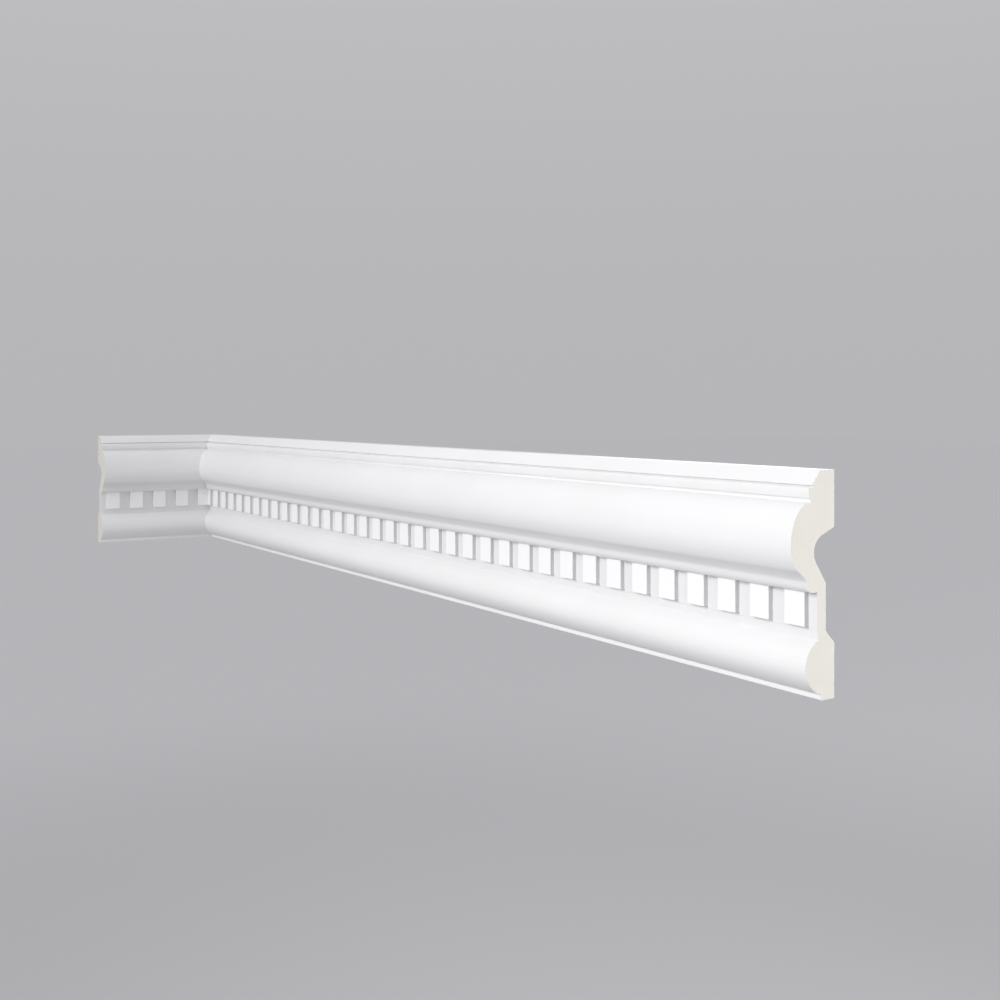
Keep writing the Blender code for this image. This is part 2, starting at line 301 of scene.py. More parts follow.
upper_chain += [(LEDGE_DEPTH, UPPER_TORUS_HEAD, ROOT_RADIUS), (LEDGE_DEPTH, BEAD_FOOT, FINE_RADIUS)]
upper_chain += bead_below + [(*bead_nose, 0)] + bead_above
upper_chain += [
    (QUIRK_DEPTH, BEAD_HEAD, FINE_RADIUS),
    (QUIRK_DEPTH, SLOPE_FOOT, FINE_RADIUS),
    (SLOPE_FOOT_DEPTH, SLOPE_FOOT, FINE_RADIUS),
    (SLOPE_HEAD_DEPTH, TOTAL_HEIGHT, TOP_ARRIS_RADIUS),
    (0, TOTAL_HEIGHT, 0),
]
face_rows = softened(lower_chain), softened(upper_chain)
print("points in the lower and the upper chain:", [len(points) for points in face_rows])

# %% The channel in the back
UPPER_PAD = 0.0275
LOWER_PAD = 0.0269
CHANNEL_DEPTH = 0.0057
POCKET_DEPTH = 0.0136
POCKET_RADIUS = 0.0090
ROOF_FALL = math.radians(24)
POCKET_RISE = math.radians(57)
FLOOR_RISE = math.radians(45)
CHANNEL_HEAD_RADIUS = 0.0020
CHANNEL_FOOT_RADIUS = 0.0040


def channel_chain():
    """Corners down the back: the upper pad, the pocket, the flat floor of the channel and the lower pad."""
    pad_edge = TOTAL_HEIGHT - UPPER_PAD
    middle = POCKET_DEPTH - POCKET_RADIUS
    centre_height = pad_edge - middle * math.tan(ROOF_FALL) - POCKET_RADIUS / math.cos(ROOF_FALL)
    first, last = math.pi / 2 - ROOF_FALL, POCKET_RISE - math.pi / 2
    pocket = []
    for step in range(CURVE_STEPS + 1):
        angle = first + (last - first) * step / CURVE_STEPS
        depth = middle + POCKET_RADIUS * math.cos(angle)
        pocket.append((depth, centre_height + POCKET_RADIUS * math.sin(angle), 0))
    fall = (pocket[-1][0] - CHANNEL_DEPTH) * math.tan(POCKET_RISE)
    head = (CHANNEL_DEPTH, pocket[-1][1] - fall, CHANNEL_HEAD_RADIUS)
    foot = (CHANNEL_DEPTH, LOWER_PAD + CHANNEL_DEPTH * math.tan(FLOOR_RISE), CHANNEL_FOOT_RADIUS)
    return [(0, pad_edge, ARRIS_RADIUS)] + pocket + [head, foot, (0, LOWER_PAD, ARRIS_RADIUS)]


back_rows = softened([(0, TOTAL_HEIGHT, 0)] + channel_chain() + [(0, 0, 0)])[1:-1]
print("points in the back:", len(back_rows))

# %% [markdown]
# ## One bay of the mould
#
# The casting repeats itself: half a gap, a dentil, half a gap, and again. One such stretch is called a bay,
# and the whole moulding is a row of equal bays. The dentil itself is built from rings. Each ring follows the
# block's outline as seen from the front: down one side, round two small corners, along the bottom and up the
# other side. The first rings climb out of the flat face in a root fillet, the next ones are the block's
# sides, which lean in a little so that the casting leaves the mould, and the last ones round the arris on to
# the front. Joined rings give clean bands of quads, where a Boolean would leave slivers.

# %% The rings of a dentil
PITCH = 0.0240
DENTIL_WIDTH = 0.0134
DENTIL_ARRIS_RADIUS = 0.0004
DENTIL_CORNER_RADIUS = 0.0006
DENTIL_LEAN = 0.0001
RING_STEPS = 4


def dentil_rings():
    """(depth, offset) of each ring, from the flat face to the front. An offset grows the outline."""
    rings = []
    for step in range(RING_STEPS + 1):
        angle = math.pi / 2 * step / RING_STEPS
        depth = FASCIA_DEPTH + DENTIL_ROOT_RADIUS * (1 - math.cos(angle))
        rings.append((depth, DENTIL_LEAN / 2 + DENTIL_ROOT_RADIUS * (1 - math.sin(angle))))
    for step in range(RING_STEPS + 1):
        angle = math.pi / 2 * step / RING_STEPS
        depth = DENTIL_DEPTH - DENTIL_ARRIS_RADIUS * (1 - math.sin(angle))
        rings.append((depth, -DENTIL_LEAN / 2 - DENTIL_ARRIS_RADIUS * (1 - math.cos(angle))))
    return rings


def ring_points(depth, offset):
    """One ring as points, from the soffit down the near side, under the block and up to the soffit again."""
    left = (PITCH - DENTIL_WIDTH) / 2 - offset
    right = (PITCH + DENTIL_WIDTH) / 2 + offset
    bottom = DENTIL_FOOT - offset
    radius = DENTIL_CORNER_RADIUS + offset
    points = [(left, SOFFIT)]
    for centre, first in ((left + radius, math.pi), (right - radius, 1.5 * math.pi)):
        for step in range(RING_STEPS + 1):
            angle = first + math.pi / 2 * step / RING_STEPS
            points.append((centre + radius * math.cos(angle), bottom + radius + radius * math.sin(angle)))
    points.append((right, SOFFIT))
    return [(along, -depth, height) for along, height in points]


print(len(dentil_rings()), "rings of", len(ring_points(FASCIA_DEPTH, 0)), "points")

# %% [markdown]
# A bay is open at both ends, where the next bay joins it. It runs from 0 to one pitch along X, with its back
# on Y = 0 and its face towards -Y. The faces of the back carry a mark, so that the tree that repeats the bays
# can give them a finish of their own.

# %% Build the bays
BACK_MARK = "moulded_back"


def bay_object(name, has_dentil):
    """A mesh object with one bay, outside the scene, for the tree to read."""
    bm = bmesh.new()
    mark = bm.faces.layers.float.new(BACK_MARK)

    def row(point):
        return [bm.verts.new((along, -point[0], point[1])) for along in (0, PITCH)]

    lower, upper = ([row(point) for point in points] for points in face_rows)
    back = [row(point) for point in back_rows]
    for rows, is_back in ((lower, 0), (upper, 0), ([upper[-1]] + back + [lower[0]], 1)):
        for near, far in zip(rows, rows[1:]):
            bm.faces.new((near[0], near[1], far[1], far[0]))[mark] = is_back

    inner = row((FASCIA_DEPTH, SOFFIT))
    rings = []
    if has_dentil:
        rings = [[bm.verts.new(point) for point in ring_points(*ring)] for ring in dentil_rings()]
        for outer_ring, inner_ring in zip(rings, rings[1:]):
            for index in range(len(outer_ring) - 1):
                pair = slice(index, index + 2)
                bm.faces.new(outer_ring[pair] + inner_ring[pair][::-1])
        bm.faces.new(rings[-1])
    edge = rings[0] if has_dentil else []
    left_ends = [ring[0] for ring in rings]
    right_ends = [ring[-1] for ring in rings]
    bm.faces.new([lower[-1][0], lower[-1][1], inner[1]] + edge[::-1] + [inner[0]])
    bm.faces.new([inner[0]] + left_ends + right_ends[::-1] + [inner[1], upper[0][1], upper[0][0]])

    bmesh.ops.recalc_face_normals(bm, faces=bm.faces)
    mesh = bpy.data.meshes.new(name)
    bm.to_mesh(mesh)
    bm.free()
    mesh.shade_smooth()
    return bpy.data.objects.new(name, mesh)


dentil_bay = bay_object("dentil bay", True)
plain_bay = bay_object("plain bay", False)
print("faces in a dentil bay:", len(dentil_bay.data.polygons))
print("faces in a plain bay:", len(plain_bay.data.polygons))

# %% [markdown]
# ## Nodes written as Python
#
# Node trees are drawn by hand in Blender's editor, but a script needs them in text. Two small classes keep
# that readable. A Value is one output of a node, and Python's own operators on it add Math nodes. A Sheet is
# one tree, and its add method makes any other node from its type, its settings and what its sockets get. Both
# serve geometry and shaders, because a Math node is the same in each.

# %% Values and sheets
class Value:
    """One output socket, on which +, - and * add Math nodes."""

    def __init__(self, sheet, socket):
        self.sheet, self.socket = sheet, socket

    def math(self, operation, *others):
        """A Math node by the name of its operation, for what Python has no operator for."""
        return self.sheet.math(operation, self, *others)

    def sibling(self, name):
        """Another output of the same node."""
        return Value(self.sheet, self.socket.node.outputs[name])

    def __add__(self, other):
        return self.sheet.math("ADD", self, other)

    def __radd__(self, other):
        return self.sheet.math("ADD", other, self)

    def __sub__(self, other):
        return self.sheet.math("SUBTRACT", self, other)

    def __rsub__(self, other):
        return self.sheet.math("SUBTRACT", other, self)

    def __mul__(self, other):
        return self.sheet.math("MULTIPLY", self, other)

    def __rmul__(self, other):
        return self.sheet.math("MULTIPLY", other, self)

    def ramp(self, low, high):
        """0 below the low value, 1 above the high one, and smooth between them."""
        settings = {"interpolation_type": "SMOOTHSTEP"}
        inputs = {"Value": self, "From Min": low, "From Max": high}
        return self.sheet.add("ShaderNodeMapRange", settings, inputs)

    def band(self, start, full, fading, end):
        """0 up to the start, 1 from full to fading, and 0 again from the end on."""
        return self.ramp(start, full) * (1 - self.ramp(fading, end))


class Sheet:
    """A node tree that is filled from Python."""

    def __init__(self, tree):
        self.tree = tree

    def add(self, kind, settings=None, inputs=None, output=0):
        """One output of a new node that got its settings first and then what its sockets take."""
        node = self.tree.nodes.new(kind)
        for name, value in (settings or {}).items():
            setattr(node, name, value)
        for name, value in (inputs or {}).items():
            self.feed(node.inputs[name], value)
        return Value(self, node.outputs[output])

    def feed(self, socket, value):
        """Links a Value to a socket, or sets the socket to a plain number, colour or object."""
        if isinstance(value, Value):
            self.tree.links.new(value.socket, socket)
        else:
            socket.default_value = value

    def math(self, operation, *values):
        """A Math node on Values, numbers or both."""
        return self.add("ShaderNodeMath", {"operation": operation}, dict(enumerate(values)))


print("ready for node trees:", Value.__name__, "and", Sheet.__name__)

# %% [markdown]
# ## The run of bays
#
# Copying the bay in a Python loop would work, and so would an Array modifier. Geometry Nodes do it in a way
# that stays readable: a line of points, one bay on each point, and a merge where bays touch. The named inputs
# are the sizes that someone would want to change, such as the length of the run. The bays start at the sawn
# end and go back past the corner, where a later cut takes off what is too long. The last bay before the
# corner can be a plain one, where the mitre would leave only a splinter of a dentil.
#
# The tree also stores each point's place on the run, before the run is turned or cut. Both pieces then carry
# their own depth and height in the section, and the primer can follow the members on either of them.

# %% The inputs of the tree
MERGE_DISTANCE = 0.00001
SECTION_MARK = "place_on_run"
RUN_INPUTS = {
    "Dentil bay": "NodeSocketObject",
    "Plain bay": "NodeSocketObject",
    "Length": "NodeSocketFloat",
    "Pitch": "NodeSocketFloat",
    "Bays": "NodeSocketInt",
    "Dentils": "NodeSocketInt",
}
print("inputs of the run:", ", ".join(RUN_INPUTS))


# %% A tree that repeats the bays
def run_tree(face_material, back_material):
    """The Geometry Nodes tree of a run, and the identifiers of its inputs by name."""
    tree = bpy.data.node_groups.new("moulding run", "GeometryNodeTree")
    tree.is_modifier = True
    tree.interface.new_socket("Geometry", in_out="INPUT", socket_type="NodeSocketGeometry")
    names = {}
    for name, kind in RUN_INPUTS.items():
        names[name] = tree.interface.new_socket(name, in_out="INPUT", socket_type=kind).identifier
    tree.interface.new_socket("Geometry", in_out="OUTPUT", socket_type="NodeSocketGeometry")
    sheet = Sheet(tree)
    sockets = tree.nodes.new("NodeGroupInput").outputs
    given = {name: Value(sheet, sockets[name]) for name in RUN_INPUTS}

    start = sheet.add("ShaderNodeCombineXYZ", inputs={"X": given["Length"] - given["Pitch"]})
    step = sheet.add("ShaderNodeCombineXYZ", inputs={"X": given["Pitch"] * -1})
    line = sheet.add(
        "GeometryNodeMeshLine",
        {"mode": "OFFSET"},
        {"Count": given["Bays"], "Start Location": start, "Offset": step},
    )
    index = sheet.add("GeometryNodeInputIndex")
    is_plain = (index + 0.5).math("GREATER_THAN", given["Dentils"])
    joined = tree.nodes.new("GeometryNodeJoinGeometry")
    for name, selection in (("Dentil bay", 1 - is_plain), ("Plain bay", is_plain)):
        bay = sheet.add("GeometryNodeObjectInfo", inputs={"Object": given[name]}, output="Geometry")
        placed = {"Points": line, "Selection": selection, "Instance": bay}
        sheet.feed(joined.inputs[0], sheet.add("GeometryNodeInstanceOnPoints", inputs=placed))
    geometry = sheet.add("GeometryNodeRealizeInstances", inputs={"Geometry": Value(sheet, joined.outputs[0])})
    merging = {"Geometry": geometry, "Distance": MERGE_DISTANCE}
    geometry = sheet.add("GeometryNodeMergeByDistance", inputs=merging)
    geometry = sheet.add(
        "GeometryNodeStoreNamedAttribute",
        {"data_type": "FLOAT_VECTOR", "domain": "POINT"},
        {"Geometry": geometry, "Name": SECTION_MARK, "Value": sheet.add("GeometryNodeInputPosition")},
    )
    mark = {"Name": BACK_MARK}
    is_back = sheet.add("GeometryNodeInputNamedAttribute", {"data_type": "FLOAT"}, mark, "Attribute")
    coating = {"Geometry": geometry, "Material": face_material}
    geometry = sheet.add("GeometryNodeSetMaterial", inputs=coating)
    bare = {"Geometry": geometry, "Selection": is_back.math("GREATER_THAN", 0.5), "Material": back_material}
    geometry = sheet.add("GeometryNodeSetMaterial", inputs=bare)
    sheet.feed(tree.nodes.new("NodeGroupOutput").inputs[0], geometry)
    return tree, names


# %% [markdown]
# ## The finishes
#
# The mould gives three surfaces. The face is sprayed with a white factory primer, between matt and satin,
# with the faint orange peel of a spray coat. Where the saw went through, the cream foam shows its fine cells,
# the marks of the blade, and a thin dense skin round its edge. The back is bare moulded foam: smooth, a
# little yellower, with scattered pinholes, and with a breath of primer where the spray crept round the edges.
#
# A flat colour would look like plastic, and image textures would tie the finish to one size. Noise on Object
# coordinates has its real size in metres and covers both pieces without a seam.

# %% Helpers for finishes
def new_finish(name):
    """A material with an empty sheet, and the sheet's Principled shader node."""
    material = bpy.data.materials.new(name)
    material.use_nodes = True
    shader = material.node_tree.nodes["Principled BSDF"]
    return material, Sheet(material.node_tree), shader


def noise(sheet, place, size, detail, distortion=0.0):
    """Noise from 0 to 1 whose patches are about as wide as the size, in metres."""
    inputs = {"Vector": place, "Scale": 1 / size, "Detail": detail, "Distortion": distortion}
    return sheet.add("ShaderNodeTexNoise", inputs=inputs)


def cells(sheet, place, size):
    """The distance from the middle of the nearest cell, of cells about as wide as the size, in metres."""
    return sheet.add("ShaderNodeTexVoronoi", inputs={"Vector": place, "Scale": 1 / size}, output="Distance")


def blend(sheet, share, first, second):
    """A colour between two others. A Mix node has its colours in sockets 6 and 7, and the result in 2."""
    settings = {"data_type": "RGBA", "clamp_factor": True}
    return sheet.add("ShaderNodeMix", settings, {0: share, 6: first, 7: second}, 2)


def bump(sheet, shader, height, distance):
    """Feeds the shader's normal from a height from 0 to 1, whose full range is the distance in metres."""
    normal = sheet.add("ShaderNodeBump", inputs={"Height": height, "Distance": distance, "Strength": 1.0})
    sheet.feed(shader.inputs["Normal"], normal)


print("helpers:", ", ".join(helper.__name__ for helper in (new_finish, noise, cells, blend, bump)))

# %% [markdown]
# The base colour of the primer carries painted light and shade, set by place in the section. It is whiter,
# a painted highlight, on what stands proud, such as the fronts of the dentils and the base fillet. It is
# greyer, a painted shade, in the gaps, under the large torus, in the quirk, on the belly of the lower torus
# and most on the steep sides of the dentils. The photograph shows those places darker than soft light alone
# would make them. Each one is a band of height or depth in the section, read from the place that the tree
# stored.

# %% Colours of the primer with its painted shade and highlight, and how strongly each place shows them
PRIMER = (0.853, 0.851, 0.849, 1)
THICK_PRIMER = (0.868, 0.867, 0.867, 1)
PAINTED_SHADE_PRIMER = (0.762, 0.762, 0.769, 1)
PAINTED_SIDE_SHADE_PRIMER = (0.665, 0.665, 0.675, 1)
PAINTED_HIGHLIGHT_PRIMER = (0.955, 0.954, 0.953, 1)
GAP_SHARE = 0.35
SOFFIT_SHARE = 0.8
QUIRK_SHARE = 0.4
BELLY_SHARE = 0.4
BASE_SHARE = 0.4
PEEL_DEPTH = 0.00005
print("primer from", PAINTED_SIDE_SHADE_PRIMER[:3], "to", PAINTED_HIGHLIGHT_PRIMER[:3])


# %% Where the primer gets painted shade or painted highlight
def primer_places(sheet):
    """Shares of painted shade, of painted side shade and of painted highlight, from 0 to 1, with soft edges.
    """
    stored = sheet.add("ShaderNodeAttribute", {"attribute_name": SECTION_MARK}, output="Vector")
    height = sheet.add("ShaderNodeSeparateXYZ", inputs={"Vector": stored}, output="Z")
    depth = height.sibling("Y") * -1
    # Painted shade: greyer in the gaps, under the large torus, in the quirk and on the belly of the lower
    # torus.
    gap = height.band(STRIP_FOOT - 0.0004, STRIP_FOOT + 0.0004, SOFFIT, SOFFIT + 0.0003)
    gap = gap * (1 - depth.ramp(DENTIL_DEPTH - 0.0016, DENTIL_DEPTH - 0.0004))
    torus_foot = UPPER_TORUS_FOOT
    soffit = height.band(SOFFIT - 0.0005, SOFFIT + 0.0020, torus_foot - 0.0030, torus_foot + 0.0020)
    quirk = height.band(BEAD_HEAD - 0.0003, BEAD_HEAD + 0.0001, SLOPE_FOOT + 0.0001, SLOPE_FOOT + 0.0005)
    belly = height.band(BASE_TOP, BASE_TOP + 0.0006, LOWER_NOSE - 0.0080, LOWER_NOSE)
    painted_shade = gap * GAP_SHARE + soffit * SOFFIT_SHARE + quirk * QUIRK_SHARE + belly * BELLY_SHARE

    row = height.band(DENTIL_FOOT - 0.0002, DENTIL_FOOT + 0.0002, SOFFIT - 0.0004, SOFFIT)
    root, front = FASCIA_DEPTH, DENTIL_DEPTH
    # Painted shade on the steep sides of the dentils.
    painted_side_shade = row * depth.band(root + 0.0003, root + 0.0006, front - 0.0005, front - 0.0002)
    # Painted highlight on the fronts of the dentils.
    painted_highlight = row * depth.band(front - 0.0006, front - 0.0001, front + 0.0001, front + 0.0006)
    # Painted highlight on the front of the base fillet.
    base = 1 - height.ramp(BASE_TOP - 0.0002, BASE_TOP + 0.0001)
    return painted_shade, painted_side_shade, painted_highlight + base * BASE_SHARE


# %% The white primer
def white_primer():
    """The coat of the face: patches of film, painted shade and highlight by place, orange peel and a fine
    tooth.
    """
    material, sheet, shader = new_finish("white primer")
    place = sheet.add("ShaderNodeTexCoord", output="Object")
    film = noise(sheet, place, size=0.060, detail=3)
    peel = noise(sheet, place, size=0.0022, detail=1)
    tooth = noise(sheet, place, size=0.0005, detail=2)
    painted_shade, painted_side_shade, painted_highlight = primer_places(sheet)
    colour = blend(sheet, film.ramp(0.35, 0.65), PRIMER, THICK_PRIMER)
    # Painted shade in the gaps and hollows.
    colour = blend(sheet, painted_shade, colour, PAINTED_SHADE_PRIMER)
    # Painted shade on the sides of the dentils.
    colour = blend(sheet, painted_side_shade, colour, PAINTED_SIDE_SHADE_PRIMER)
    # Painted highlight on the dentil fronts and the base fillet.
    colour = blend(sheet, painted_highlight, colour, PAINTED_HIGHLIGHT_PRIMER)
    sheet.feed(shader.inputs["Base Color"], colour)
    sheet.feed(shader.inputs["Roughness"], 0.40 + film * 0.10 + tooth * 0.06)
    bump(sheet, shader, peel * 0.75 + tooth * 0.25, PEEL_DEPTH)
    return material


primer = white_primer()
print(primer.name, "has", len(primer.node_tree.nodes), "nodes")

# %% [markdown]
# A fine saw tears open the cells of the foam. A Voronoi texture gives the froth its round cells, a finer
# noise breaks them up, and a noise that is stretched along the depth gives the strokes of the blade. The skin
# is what set first against the mould. It has no open cells, so it is paler and smoother, and it follows a
# mark on the mesh instead of a texture, because it has to keep to the edge of the cut.

# %% The sawn foam
SKIN_MARK = "sawn_skin"
FOAM_CORE = (0.738, 0.710, 0.648, 1)
PALE_FOAM_CORE = (0.776, 0.753, 0.696, 1)
OPEN_CELL = (0.57, 0.53, 0.46, 1)
DENSE_SKIN = (0.885, 0.880, 0.861, 1)
BLADE_STRETCH = (1.0, 0.08, 1.0)
SAW_DEPTH = 0.00022


def sawn_foam():
    """The cut ends: open cells in the core, strokes of the blade, and the dense skin at the edge."""
    material, sheet, shader = new_finish("sawn foam")
    place = sheet.add("ShaderNodeTexCoord", output="Object")
    skin = sheet.add("ShaderNodeAttribute", {"attribute_name": SKIN_MARK}, output="Fac").ramp(0.15, 0.85)
    froth = cells(sheet, place, size=0.0007)
    grain = noise(sheet, place, size=0.0004, detail=2)
    patches = noise(sheet, place, size=0.012, detail=3)
    stretched = sheet.add("ShaderNodeMapping", inputs={"Vector": place, "Scale": BLADE_STRETCH})
    strokes = noise(sheet, stretched, size=0.0016, detail=2)
    core = blend(sheet, patches, FOAM_CORE, PALE_FOAM_CORE)
    open_cells = (1 - froth.ramp(0.12, 0.42)) * grain.ramp(0.35, 0.6) * (1 - skin)
    core = blend(sheet, open_cells * 0.35, core, OPEN_CELL)
    sheet.feed(shader.inputs["Base Color"], blend(sheet, skin, core, DENSE_SKIN))
    shader.inputs["Roughness"].default_value = 0.85
    relief = froth * 0.5 + grain * 0.25 + strokes * 0.25
    bump(sheet, shader, relief * (1 - skin * 0.8), SAW_DEPTH)
    return material


foam_cut = sawn_foam()
print(foam_cut.name, "has", len(foam_cut.node_tree.nodes), "nodes")

# %% [markdown]
# The back is bonded out of sight, so it gets no coat. Its swirls show how the foam flowed as it rose, and its
# pinholes are bubbles that were caught against the mould. The overspray creeps in over the top and the bottom
# edge. It is worked out from the height on the moulding, and the swirls break its edge, since a mask that is
# painted by hand would have to be painted again for each length.

# %% The moulded back
BARE_FOAM = (0.722, 0.679, 0.580, 1)
PALE_BARE_FOAM = (0.774, 0.741, 0.656, 1)
PINHOLE = (0.50, 0.45, 0.36, 1)
OVERSPRAY = (0.841, 0.839, 0.836, 1)
BACK_RELIEF = 0.00012


def moulded_foam():
    """The bare back: faint swirls, dimples and pinholes, with overspray along the top and bottom edges."""
    material, sheet, shader = new_finish("moulded foam")
    place = sheet.add("ShaderNodeTexCoord", output="Object")
    swirl = noise(sheet, place, size=0.035, detail=4, distortion=1.2)
    dimples = noise(sheet, place, size=0.0030, detail=3)
    pinholes = 1 - cells(sheet, place, size=0.0045).ramp(0.06, 0.12)
    height = sheet.add("ShaderNodeSeparateXYZ", inputs={"Vector": place}, output="Z") - CORNER.z
    from_edge = height.math("MINIMUM", TOTAL_HEIGHT - height)
    overspray = 1 - (from_edge - swirl * 0.004).ramp(0.0002, 0.0032)
    foam = blend(sheet, swirl, BARE_FOAM, PALE_BARE_FOAM)
    foam = blend(sheet, pinholes * 0.6, foam, PINHOLE)
    sheet.feed(shader.inputs["Base Color"], blend(sheet, overspray * 0.85, foam, OVERSPRAY))
    sheet.feed(shader.inputs["Roughness"], 0.48 + swirl * 0.16)
    bump(sheet, shader, dimples * 0.6 + swirl * 0.4 - pinholes * 0.8, BACK_RELIEF)
    return material


foam_back = moulded_foam()
print(foam_back.name, "has", len(foam_back.node_tree.nodes), "nodes")

# %% [markdown]
# ## From the run to a sawn and mitred length
#
# The evaluated run is copied into a plain mesh, and the modifier goes. Then two cuts make it a length of
# moulding. At the sawn end the last bay already stops in the right plane, so the open edge only needs a face.
# At the corner a plane at 45 degrees splits the bays, what lies past it is removed, and the open edge is
# filled too. Bisecting suits such flat cuts better than a Boolean: it adds nothing but the cut line itself.
#
# The two meshes are cut to nearly touch along the mitre, as two glued lengths do. The saw leaves the dense
# skin of the foam as a thin pale line round each cut. A second outline inside the first gives that line its
# own faces, and a mark on the outer points lets the finish fade from skin to core. The Inset operator would
# fold over itself at the tight arcs, so the inner outline leaves out each point that came too close.

# %% Repeat the bays
tree, input_names = run_tree(primer, foam_back)


def run_mesh(name, length, dentils):
    """The plain mesh of a run that is a little too long at the corner, with its sawn end at the length."""
    bays = math.ceil(length / PITCH)
    carrier = bpy.data.objects.new(name, bpy.data.meshes.new(name))
    bpy.context.scene.collection.objects.link(carrier)
    modifier = carrier.modifiers.new("moulding run", "NODES")
    modifier.node_group = tree
    for label, value in zip(RUN_INPUTS, (dentil_bay, plain_bay, length, PITCH, bays, dentils)):
        modifier[input_names[label]] = value
    graph = bpy.context.evaluated_depsgraph_get()
    mesh = bpy.data.meshes.new_from_object(carrier.evaluated_get(graph))
    carrier.modifiers.remove(modifier)
    bpy.data.objects.remove(carrier)
    print(f"{name}: {bays} bays, {dentils} dentils, {len(mesh.polygons)} faces")
    return mesh


# %% The line of the skin
SKIN_WIDTH = 0.00035
LEAST_SPREAD = 0.5
CLOSE_SHARE = 0.98


def gap_to(point, outline):
    """The distance from a point to the nearest edge of an outline."""
    nearest = []
    for start, end in zip(outline, outline[1:] + outline[:1]):
        along = max(0, min(1, (point - start).dot(end - start) / (end - start).length_squared))
        nearest.append((start + (end - start) * along - point).length)
    return min(nearest)


def inner_line(outline, width):
    """The outline moved inwards, without the folds that tight arcs would give it."""
    turn = sum(start.cross(end) for start, end in zip(outline, outline[1:] + outline[:1]))
    side = math.copysign(1, turn)
    kept = []
    for before, point, after in zip(outline[-1:] + outline[:-1], outline, outline[1:] + outline[:1]):
        first, second = (point - before).normalized(), (after - point).normalized()
        inward = Vector((-first.y - second.y, first.x + second.x)).normalized() * side
        spread = max(LEAST_SPREAD, side * inward.dot(Vector((-first.y, first.x))))
        moved = point + inward * width / spread
        if gap_to(moved, outline) > CLOSE_SHARE * width:
            kept.append(moved)
    return kept


print(f"skin {SKIN_WIDTH * MILLIMETRES:.2f} mm wide")

# %% [markdown]
# The sawn face is a triangulation that keeps both outlines as edges. It runs in millimetres, because its
# tolerance is a plain number that would be coarse in metres.

# %% The sawn face
INSIDE_ONLY = 1
TRIANGLE_TOLERANCE = 0.000001


def loop_points(edges):
    """The points of one closed loop of edges, in their order round it."""
    ways = {}
    for edge in edges:
        for vert in edge.verts:
            ways.setdefault(vert, []).append(edge.other_vert(vert))
    loop = [edges[0].verts[0], edges[0].verts[1]]
    while len(loop) < len(edges):
        loop.append(next(vert for vert in ways[loop[-1]] if vert is not loop[-2]))
    return loop


def sawn_faces(bm, edges, material_index, skin):
    """Fills an open end with a flat face of triangles, with one line of points at the depth of the skin."""
    rim = loop_points(edges)
    outline = [Vector((vert.co.y, vert.co.z)) * MILLIMETRES for vert in rim]
    inner = inner_line(outline, SKIN_WIDTH * MILLIMETRES)
    count = len(outline)
    lines = [(index, (index + 1) % count) for index in range(count)]
    lines += [(count + index, count + (index + 1) % len(inner)) for index in range(len(inner))]
    places, _, triangles, sources, _, _ = delaunay_2d_cdt(
        outline + inner, lines, [list(range(count))], INSIDE_ONLY, TRIANGLE_TOLERANCE
    )
    verts = []
    for place, origins in zip(places, sources):
        if origins and origins[0] < count:
            verts.append(rim[origins[0]])
            rim[origins[0]][skin] = 1.0
        else:
            verts.append(bm.verts.new((rim[0].co.x, place.x / MILLIMETRES, place.y / MILLIMETRES)))
    for corners in triangles:
        face = bm.faces.new([verts[index] for index in corners])
        face.material_index = material_index
        face.smooth = False
    return len(triangles)


# %% Cut the ends
MITRE_SETBACK = 0.00003


def open_edges(bm):
    """The edges where the mesh isn't closed, because they carry only one face."""
    return [edge for edge in bm.edges if len(edge.link_faces) == 1]


def cut_length(mesh, length, place, mirrored):
    """Gives the run its sawn end and its mitre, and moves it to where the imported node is."""
    mesh.materials.append(foam_cut)
    cut_index = len(mesh.materials) - 1
    bm = bmesh.new()
    bm.from_mesh(mesh)
    skin = bm.verts.layers.float.new(SKIN_MARK)
    start = (MITRE_SETBACK * math.sqrt(2), 0, 0)
    everything = bm.verts[:] + bm.edges[:] + bm.faces[:]
    bmesh.ops.bisect_plane(bm, geom=everything, plane_co=start, plane_no=(1, 1, 0), clear_inner=True)
    sawn = []
    for edge in open_edges(bm):
        if all(abs(vert.co.x - length) < MERGE_DISTANCE for vert in edge.verts):
            sawn.append(edge)
    faces = sawn_faces(bm, sawn, cut_index, skin)
    for face in bmesh.ops.holes_fill(bm, edges=open_edges(bm), sides=0)["faces"]:
        face.material_index = cut_index
        face.smooth = False
    bmesh.ops.recalc_face_normals(bm, faces=bm.faces)
    bmesh.ops.transform(bm, matrix=place, verts=bm.verts)
    if mirrored:
        bmesh.ops.reverse_faces(bm, faces=bm.faces)
    print("  faces of the sawn end", faces, "from", len(sawn), "edges, open edges left", len(open_edges(bm)))
    print(f"  volume {bm.calc_volume() * 1e6:.1f} cm3")
    bm.to_mesh(mesh)
    bm.free()
    return mesh


# %% [markdown]
# ## Shading
#
# Every arris is real geometry, so the whole mesh may be shaded smooth, apart from the crisp edges of the saw
# cuts. The Weighted Normal modifier then leans each corner's normal towards its largest face. That keeps the
# flats flat, and lets the narrow arris faces carry the whole turn.

# %% Finish a length and hand it to the frame
SHARP_ANGLE = math.radians(40)
FLAT_WEIGHT = 60


